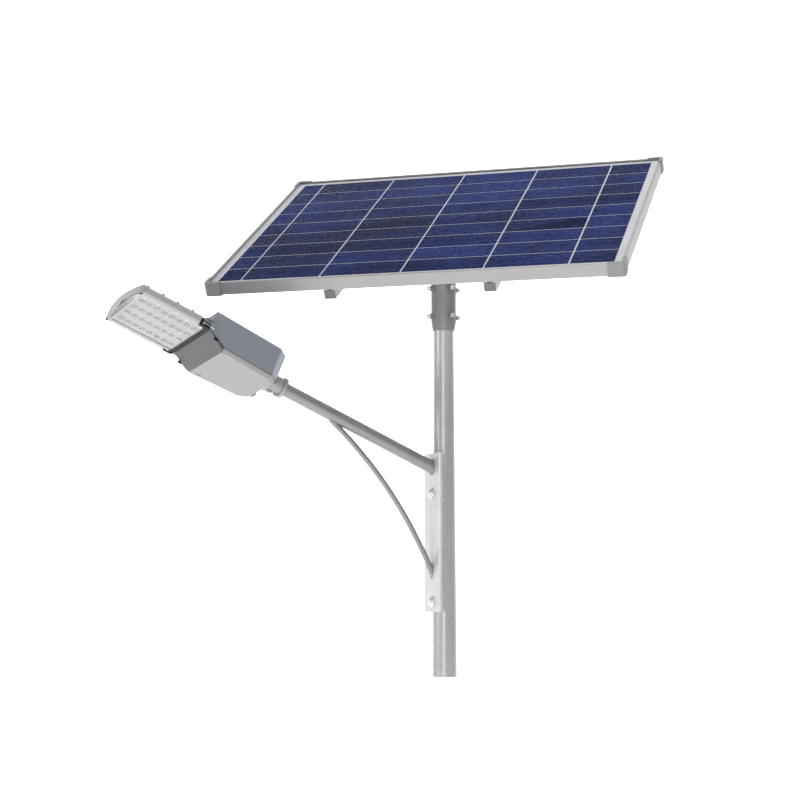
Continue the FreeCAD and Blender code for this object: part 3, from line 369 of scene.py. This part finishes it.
class Recipe(NodeBench):
    """Geometry Nodes under construction, with named inputs for its sizes."""

    def __init__(self, name, **sizes):
        super().__init__(bpy.data.node_groups.new(name, "GeometryNodeTree"))
        self.sizes = sizes
        slots = self.tree.interface
        slots.new_socket("Geometry", in_out="OUTPUT", socket_type="NodeSocketGeometry")
        for size, value in sizes.items():
            kind = "NodeSocketInt" if isinstance(value, int) else "NodeSocketFloat"
            slots.new_socket(size, in_out="INPUT", socket_type=kind)
        self.entry = self.tree.nodes.new("NodeGroupInput")

    def size(self, name):
        """One of the named inputs."""
        return Wire(self, self.entry.outputs[name])

    def vector(self, x=0.0, y=0.0, z=0.0):
        """A vector from three numbers."""
        return self.node("ShaderNodeCombineXYZ", {}, {"X": x, "Y": y, "Z": z})

    def slab(self):
        """A block with the recipe's own Out, Across and Thick."""
        return self.node("GeometryNodeMeshCube", {}, {"Size": self.vector(
            self.size("Out"), self.size("Across"), self.size("Thick"))})

    def grown(self, geometry, material, place):
        """The tree's result as a plain mesh, put in its place."""
        solid = self.node("GeometryNodeRealizeInstances", {}, {"Geometry": geometry})
        coated = self.node("GeometryNodeSetMaterial", {}, {
            "Geometry": solid, "Material": material})
        self.tree.links.new(coated.socket, self.tree.nodes.new("NodeGroupOutput").inputs[0])
        carrier = bpy.data.objects.new(self.tree.name, bpy.data.meshes.new(self.tree.name))
        bpy.context.scene.collection.objects.link(carrier)
        growth = carrier.modifiers.new("growth", "NODES")
        growth.node_group = self.tree
        for item in self.tree.interface.items_tree:
            if item.in_out == "INPUT":
                growth[item.identifier] = self.sizes[item.name]
        ready = carrier.evaluated_get(bpy.context.evaluated_depsgraph_get())
        mesh = bpy.data.meshes.new_from_object(ready)
        bpy.data.objects.remove(carrier)
        mesh.transform(place)
        mesh.materials.clear()
        return mesh


def weld(name, node, material, place, half_length, half_width, bead, scales):
    """A weld bead: overlapping scales along an oval, as a welder lays them round a joint."""
    seam = Recipe(name, Half_Length=half_length, Half_Width=half_width, Bead=bead,
                  Scales=scales, Seed=7)
    ring = seam.node("GeometryNodeCurvePrimitiveCircle", {}, {"Resolution": 72, "Radius": 1.0})
    oval = seam.node("GeometryNodeTransform", {}, {
        "Geometry": ring,
        "Scale": seam.vector(seam.size("Half_Length"), seam.size("Half_Width"), 1.0)})
    points = seam.node("GeometryNodeCurveToPoints", {}, {
        "Curve": oval, "Count": seam.size("Scales")})
    turn = Wire(seam, points.socket.node.outputs["Rotation"])
    drop = seam.node("GeometryNodeMeshUVSphere", {}, {
        "Segments": 12, "Rings": 8, "Radius": seam.size("Bead")})
    flat_drop = seam.node("GeometryNodeTransform", {}, {
        "Geometry": drop, "Scale": (0.95, 0.62, 1.1)})
    spread = seam.node("FunctionNodeRandomValue", {"data_type": "FLOAT"}, {
        2: 0.86, 3: 1.12, "Seed": seam.size("Seed")}, output=1)
    laid = seam.node("GeometryNodeInstanceOnPoints", {}, {
        "Points": points, "Instance": flat_drop, "Rotation": turn,
        "Scale": seam.vector(spread, spread, spread)})
    settled(name, seam.grown(laid, material, place), node, material)


PLATE_FACE = -40 * MM
ARM_HEIGHT, ARM_RISE = 599.3 * MM, radians(24.6)
BRACE_FOOT = 297 * MM
BRACE_HEAD = Vector((-347, 0, 719.6)) * MM
facing_plate = Matrix.Rotation(pi / 2, 4, "Y")
along_arm = Matrix.Rotation(ARM_RISE, 4, "Y")

zinc_arm = galvanised("galvanised_arm", light=0.31, roughness=0.42)
finished("arm", 0.6 * MM, zinc_arm)
finished("brace", 0.6 * MM, zinc_arm)
weld("arm_weld", "arm", zinc_arm, Matrix.Translation((PLATE_FACE, 0, ARM_HEIGHT)) @ facing_plate,
     half_length=20.9 * MM, half_width=19 * MM, bead=2.8 * MM, scales=46)
weld("brace_foot_weld", "brace", zinc_arm,
     Matrix.Translation((PLATE_FACE, 0, BRACE_FOOT)) @ facing_plate,
     half_length=17 * MM, half_width=8 * MM, bead=2.2 * MM, scales=34)
weld("brace_head_weld", "brace", zinc_arm, Matrix.Translation(BRACE_HEAD) @ along_arm,
     half_length=15 * MM, half_width=7.5 * MM, bead=2.0 * MM, scales=30)

# ---------------------------------------------------------------- panel post
# A heavier sleeve slips over the pole's head and is swaged in at its lower edge.
# Eight bolts through welded nuts grip the pole; a plate on top carries the two hinge ears.

SLEEVE_TOP, SLEEVE_R = 1143.5 * MM, 36.5 * MM

zinc_sleeve = galvanised("galvanised_sleeve", light=0.24, roughness=0.48)
finished("sleeve", 0.8 * MM, zinc_sleeve)
finished("screw_bosses", 0.5 * MM, zinc_sleeve)
finished("set_screws", 0.5 * MM, zinc_bolts)
finished("post_cap", 1.0 * MM, zinc_sleeve)
weld("sleeve_weld", "sleeve", zinc_sleeve, Matrix.Translation((0, 0, SLEEVE_TOP)),
     half_length=SLEEVE_R, half_width=SLEEVE_R, bead=2.0 * MM, scales=96)
finished("post_ears", 1.0 * MM, zinc_sleeve)
finished("tilt_pin", 0.6 * MM, zinc_bolts)
finished("lock_bolts", 0.5 * MM, zinc_bolts)

# ---------------------------------------------------------------- panel carrier
# A square cross beam on two slotted lugs, and two lipped rails that run up the slope.
# All are galvanised; the open ends are closed with pressed-in plugs.


def moulded(name, colour, roughness, gloss=0.5):
    """Moulded plastic with a fine spark-eroded grain and slightly uneven gloss."""
    plastic = Finish(name, roughness=roughness, specular_ior_level=gloss)
    place = plastic.where()
    cloud = plastic.noise(place, 26.0)
    dark = tuple(channel * 0.86 for channel in colour)
    pale = tuple(channel * 1.10 for channel in colour)
    plastic.feed(Base_Color=plastic.blend(cloud, dark, pale),
                 Roughness=roughness - 0.08 + cloud * 0.16)
    plastic.bump(plastic.noise(place, 1500.0, detail=2.0), 0.06 * MM)
    return plastic.material


zinc_rail = galvanised("galvanised_rail", light=0.42, roughness=0.44)
for node in ("beam_lugs", "cross_beam", "rail_left", "rail_right"):
    finished(node, 0.8 * MM, zinc_rail)
finished("rail_bolts", 0.4 * MM, zinc_bolts)
finished("frame_bolts", 0.4 * MM, zinc_bolts)

grey_plastic = moulded("grey_plastic", (0.27, 0.27, 0.265), 0.5)
black_plastic = moulded("black_plastic", (0.012, 0.012, 0.013), 0.6, gloss=0.2)
finished("rail_plugs", 2.0 * MM, moulded("rail_plug_grey", (0.16, 0.16, 0.16), 0.5), 3)
finished("beam_plugs", 1.0 * MM, black_plastic)

# ---------------------------------------------------------------- panel frame
# Four anodised aluminium bars, mitred at the corners, with a lip over the glass.
# Moulded grey guards wrap the corners.

PANEL_TURN = radians(41.2)

anodised = Finish("anodised_frame", metallic=0.55, roughness=0.38)
drawn = anodised.noise(anodised.where(turn=(0, 0, PANEL_TURN), stretch=(3, 500, 500)), 1.0,
                       detail=6.0)
cloud = anodised.noise(anodised.where(), 14.0)
anodised.feed(Base_Color=anodised.blend(drawn * 0.6 + cloud * 0.4, (0.31, 0.31, 0.308),
                                        (0.42, 0.42, 0.417)),
              Roughness=0.3 + drawn * 0.2)
anodised.bump(drawn, 0.03 * MM)
for node in ("frame_front", "frame_rear", "frame_left", "frame_right"):
    finished(node, 0.5 * MM, anodised.material)
finished("corner_guards", 1.2 * MM, grey_plastic, 3)

# ---------------------------------------------------------------- laminate
# Polycrystalline cells between a white backsheet and tempered glass.
# The crystals show as angular flakes of deep blue; the glass is thin, clear and glossy.
# Each cell comes from its own wafer, so its tone differs a little from the next one.

PIVOT_HEIGHT, PANEL_TILT = 1186 * MM, radians(30.6)
ROW_PITCH, FIRST_ROW = 836 / 9 * MM, -342.9 * MM
COLUMN_PITCH, FIRST_COLUMN = 233.95 * MM, -494.8 * MM
BUSBARS_PER_CELL = 2
BUSBAR_SHARE = 0.016

to_panel = (Matrix.Translation((0, 0, PIVOT_HEIGHT)) @ Matrix.Rotation(-PANEL_TURN, 4, "Z")
            @ Matrix.Rotation(PANEL_TILT, 4, "X")).inverted()

silicon = Finish("silicon", roughness=0.3, specular_ior_level=0.05)
flat = silicon.where(turn=to_panel.to_euler(), shift=to_panel.translation)
along, across = silicon.split(flat)[:2]
row = (across - FIRST_ROW) / ROW_PITCH
column = (along - FIRST_COLUMN) / COLUMN_PITCH
cell = silicon.node("ShaderNodeCombineXYZ", {}, {
    "X": silicon.maths("FLOOR", column), "Y": silicon.maths("FLOOR", row)})
wafer = silicon.node("ShaderNodeTexWhiteNoise", {"noise_dimensions": "3D"}, {"Vector": cell})
flake = silicon.chips(flat, 110.0)
shard = silicon.chips(flat, 46.0)
patch = silicon.noise(flat, 3.2, detail=2.0)
blue = silicon.ramp(flake * 0.10 + shard * 0.10 + patch * 0.70 + wafer * 0.16, [
    (0.28, (0.003, 0.004, 0.026)), (0.52, (0.005, 0.014, 0.098)), (0.78, (0.016, 0.034, 0.20))])
off_line = silicon.maths("FRACT", row * BUSBARS_PER_CELL) - 0.5
busbar = silicon.maths("ABSOLUTE", off_line) < BUSBAR_SHARE
silicon.feed(Base_Color=silicon.blend(busbar * 0.5, blue, (0.16, 0.17, 0.26)),
             Roughness=0.2 + flake * 0.2)
finished("solar_cells", 0.0, silicon.material)
finished("backsheet", 0.0, moulded("backsheet_white", (0.80, 0.81, 0.82), 0.4))

clear = Finish("panel_glass", base_color=(0.03, 0.05, 0.12, 1), roughness=0.1,
               specular_ior_level=0.12)
film = clear.noise(clear.where(), 6.0)
clear.feed(Alpha=0.04 + film * 0.05, Roughness=0.10 + film * 0.08)
finished("glass", 0.0, clear.material)

finished("junction_box", 0.6 * MM, black_plastic)
finished("junction_lid", 0.8 * MM, black_plastic)
finished("junction_glands", 0.4 * MM, black_plastic)

# ---------------------------------------------------------------- head fitter
# A cast clamp sleeve with a collar at each end; two socket screws from below press it on the arm.
# It is powder coated like the box it carries.


def powder_coated(name, colour):
    """Powder-coated casting with orange-peel relief and faint dust specks at random."""
    paint = Finish(name, metallic=0.18, roughness=0.46)
    place = paint.where()
    cloud = paint.noise(place, 12.0)
    speck = paint.noise(place, 520.0, detail=2.0)
    dark = tuple(channel * 0.88 for channel in colour)
    pale = tuple(channel * 1.08 for channel in colour)
    paint.feed(Base_Color=paint.blend(cloud * 0.65 + speck * 0.35, dark, pale),
               Roughness=0.38 + cloud * 0.14)
    paint.bump(speck, 0.09 * MM)
    return paint.material


finished("fitter", 1.5 * MM, powder_coated("fitter_grey", (0.36, 0.365, 0.37)), 3)
finished("fitter_bolts", 0.6 * MM, zinc_bolts)

# ---------------------------------------------------------------- box of the head
# Die-cast upper shell and a hinged tray below it, which slopes up to the lamp module.
# The slope is painted darker than the floor of the tray, as painted shade.
# The battery and the controller hang from a plate under the roof.

HEAD_HEIGHT, HEAD_ROLL = 581 * MM, radians(7.7)
SLOPE_FOOT = 783.6 * MM
SLOPE_FADE = 600.0

HEAD = (Matrix.Translation((0, 0, HEAD_HEIGHT)) @ Matrix.Rotation(ARM_RISE, 4, "Y")
        @ Matrix.Rotation(pi, 4, "Z") @ Matrix.Rotation(HEAD_ROLL, 4, "X"))
to_head = HEAD.inverted()


def reach_on_head(finish):
    """Distance from the pole along the head, for colours that change on the way."""
    return finish.split(finish.where(turn=to_head.to_euler(), shift=to_head.translation))[0]


cover = Finish("cover_grey", metallic=0.15, roughness=0.46)
orange_peel = cover.noise(cover.where(), 480.0, detail=2.0)
cloud = cover.noise(cover.where(), 10.0)
brushing = cover.noise(cover.where(turn=to_head.to_euler(), stretch=(26, 260, 26)), 1.0,
                       detail=5.0)
coat = cover.blend(cloud * 0.6 + orange_peel * 0.4, (0.24, 0.24, 0.24), (0.30, 0.30, 0.298))
# Painted shade: the slope's colour is darker than the tray floor's, standing in for the shade on
# it.
slope_painted_shade = cover.blend(brushing, (0.06, 0.06, 0.063), (0.125, 0.125, 0.128))
slope_shade_mask = (reach_on_head(cover) - SLOPE_FOOT) * SLOPE_FADE
slope_shade_mask = cover.maths("MAXIMUM", cover.maths("MINIMUM", slope_shade_mask, 1.0), 0.0)
cover.feed(Base_Color=cover.blend(slope_shade_mask, coat, slope_painted_shade), Roughness=0.4 + cloud * 0.16)
cover.bump(orange_peel, 0.08 * MM)

cast_grey = powder_coated("cast_grey", (0.265, 0.285, 0.335))
finished("housing", 1.4 * MM, cast_grey, 3)
finished("tray", 2.0 * MM, cover.material, 4)
finished("hinge_pins", 0.3 * MM, zinc_bolts)
finished("gear_plate", 0.3 * MM, zinc_plate_painted_light)
finished("battery", 0.0, moulded("battery_wrap", (0.02, 0.07, 0.25), 0.25))
finished("battery_straps", 0.5 * MM, black_plastic)
finished("controller", 1.0 * MM, black_plastic)
finished("terminal_block", 0.4 * MM, grey_plastic)

# ---------------------------------------------------------------- heat sink
# One casting: a base that carries the board, a neck that enters the box, and cross fins.
# The fins drop towards both sides, and every fourth one is thicker, higher and longer.

FIN_PITCH = 11.25 * MM
FIRST_FIN = 860 * MM
THIN_PER_GAP = 3


def fins(name, count, pitch, thick, top, reach):
    """Mesh of cross fins that drop towards both sides, and the first of which is at the origin."""
    comb = Recipe(name, Count=count, Pitch=pitch, Thick=thick, Top=top, Reach=reach,
                  Foot=11 * MM, Flat=70 * MM, Side=20 * MM)
    blank = comb.node("GeometryNodeMeshCube", {}, {
        "Size": comb.vector(comb.size("Thick"), comb.size("Reach") * 2, 1.0), "Vertices Y": 31})
    out, across, height = comb.split(comb.node("GeometryNodeInputPosition"))
    beyond = comb.maths("MAXIMUM", comb.maths("ABSOLUTE", across) - comb.size("Flat"), 0.0)
    fall = (comb.size("Top") - comb.size("Side")) / (comb.size("Reach") - comb.size("Flat"))
    rise = comb.size("Top") - beyond * fall - comb.size("Foot")
    cut = comb.node("GeometryNodeSetPosition", {}, {
        "Geometry": blank,
        "Position": comb.vector(out, across, comb.size("Foot") + (height + 0.5) * rise)})
    line = comb.node("GeometryNodeMeshLine", {}, {
        "Count": comb.size("Count"), "Offset": comb.vector(comb.size("Pitch"))})
    row = comb.node("GeometryNodeInstanceOnPoints", {}, {"Points": line, "Instance": cut})
    return comb, row


def cast_fins(name, start, rounding, **sizes):
    """Puts a row of fins on the head, counted in pitches from the first fin."""
    comb, row = fins(name, **sizes)
    place = HEAD @ Matrix.Translation((FIRST_FIN + start * FIN_PITCH, 0, 0))
    settled(name, comb.grown(row, cast_grey, place), "heat_sink", cast_grey, rounding)


def head_slab(name, node, material, size, centre, rounding):
    """A flat block of the head, with its middle at the given place."""
    block = Recipe(name, Out=size[0] * MM, Across=size[1] * MM, Thick=size[2] * MM)
    place = HEAD @ Matrix.Translation(Vector(centre) * MM)
    settled(name, block.grown(block.slab(), material, place), node, material, rounding)


finished("seam_gasket", 0.8 * MM, black_plastic)
cast_fins("thick_fins", 0, 0.5 * MM, count=5, pitch=FIN_PITCH * (THIN_PER_GAP + 1),
          thick=5.2 * MM, top=40 * MM, reach=149.5 * MM)
for gap in range(4):
    cast_fins(f"thin_fins_{gap + 1}", gap * (THIN_PER_GAP + 1) + 1, 0.4 * MM, count=THIN_PER_GAP,
              pitch=FIN_PITCH, thick=2.6 * MM, top=37 * MM, reach=136 * MM)
head_slab("sink_base", "heat_sink", cast_grey, (194, 272, 12), (950, 0, 6), 0.8 * MM)
head_slab("sink_neck", "heat_sink", cast_grey, (14.8, 220, 28), (849.5, 0, 20), 0.8 * MM)

# ---------------------------------------------------------------- rim of the lamp module
# Moulded rails along both sides, a bowed end cap and a thin frame that clamps the clear cover.
# The frame's inner bar, towards the box, is coloured black.

INNER_BAR_END = 861 * MM

rim_grey = powder_coated("rim_grey", (0.42, 0.425, 0.43))
finished("side_rail_near", 1.5 * MM, rim_grey, 3)
finished("side_rail_far", 1.5 * MM, rim_grey, 3)
finished("module_end", 2.0 * MM, rim_grey, 3)

bezel = Finish("lens_frame_coat", roughness=0.5, specular_ior_level=0.3)
dust = bezel.noise(bezel.where(), 300.0, detail=3.0)
coat = bezel.blend(dust, (0.38, 0.385, 0.39), (0.46, 0.465, 0.47))
# The frame is coloured black over its inner bar, towards the box.
inner_bar_black = reach_on_head(bezel) < INNER_BAR_END
bezel.feed(Base_Color=bezel.blend(inner_bar_black, coat, (0.012, 0.012, 0.013)), Roughness=0.42 + dust * 0.2)
finished("lens_frame", 0.8 * MM, bezel.material)

# ---------------------------------------------------------------- light sources and lenses
# A white board with a light source under each of 32 lenses, in 8 columns and 4 rows.
# The clear cover is moulded in one piece with its lenses: flat inside, domed outside.

lens = Finish("clear_lens", base_color=(0.40, 0.41, 0.43, 1), roughness=0.08,
              specular_ior_level=0.4)
lens_rim = lens.node("ShaderNodeLayerWeight", {}, {"Blend": 0.35}, output=1)
lens.feed(Alpha=0.10 + lens_rim * 0.8)
clear_lens = lens.material

finished("led_board", 0.0, moulded("board_white", (0.72, 0.72, 0.715), 0.5))
finished("led_chips", 0.0, moulded("phosphor", (0.40, 0.36, 0.22), 0.3))

field = Recipe("lens_field", Columns=8, Rows=4, Pitch_Out=22.75 * MM, Pitch_Across=60 * MM,
               Half_Out=9.0 * MM, Half_Across=13 * MM, Depth=4.5 * MM)
grid = field.node("GeometryNodeMeshGrid", {}, {
    "Vertices X": field.size("Columns"),
    "Vertices Y": field.size("Rows"),
    "Size X": field.size("Pitch_Out") * (field.size("Columns") - 1),
    "Size Y": field.size("Pitch_Across") * (field.size("Rows") - 1)})
ball = field.node("GeometryNodeMeshUVSphere", {}, {"Segments": 28, "Rings": 14, "Radius": 1.0})
oval = field.node("GeometryNodeTransform", {}, {
    "Geometry": ball,
    "Scale": field.vector(field.size("Half_Out"), field.size("Half_Across"),
                          field.size("Depth"))})
out, across, height = field.split(field.node("GeometryNodeInputPosition"))
dome = field.node("GeometryNodeSetPosition", {}, {
    "Geometry": oval,
    "Position": field.vector(out, across, field.maths("MINIMUM", height, 0.0))})
domes = field.node("GeometryNodeInstanceOnPoints", {}, {"Points": grid, "Instance": dome})
under_board = HEAD @ Matrix.Translation(Vector((950, 0, -4.9)) * MM)
settled("lens_domes", field.grown(domes, clear_lens, under_board), "lens_plate", clear_lens)
head_slab("lens_pane", "lens_plate", clear_lens, (187.6, 249.6, 1.9), (950, 0, -4), 0.4 * MM)
finished("lens_screws", 0.3 * MM, zinc_bolts)

# ---------------------------------------------------------------- side clips
# Bright steel levers that swing on black blocks and press on pads at the tray's corners.

bright = Finish("bright_steel", metallic=1.0, roughness=0.16)
brushed = bright.noise(bright.where(stretch=(60, 900, 900)), 1.0)
bright.feed(Base_Color=bright.ramp(brushed, [(0.3, (0.62, 0.63, 0.64)),
                                             (0.7, (0.82, 0.82, 0.82))]),
            Roughness=0.12 + brushed * 0.16)
finished("clip_lever_near", 0.5 * MM, bright.material)
finished("clip_lever_far", 0.5 * MM, bright.material)
finished("clip_blocks", 1.0 * MM, black_plastic)
finished("clip_pads", 0.6 * MM, black_plastic)
finished("clip_pins", 0.3 * MM, zinc_bolts)
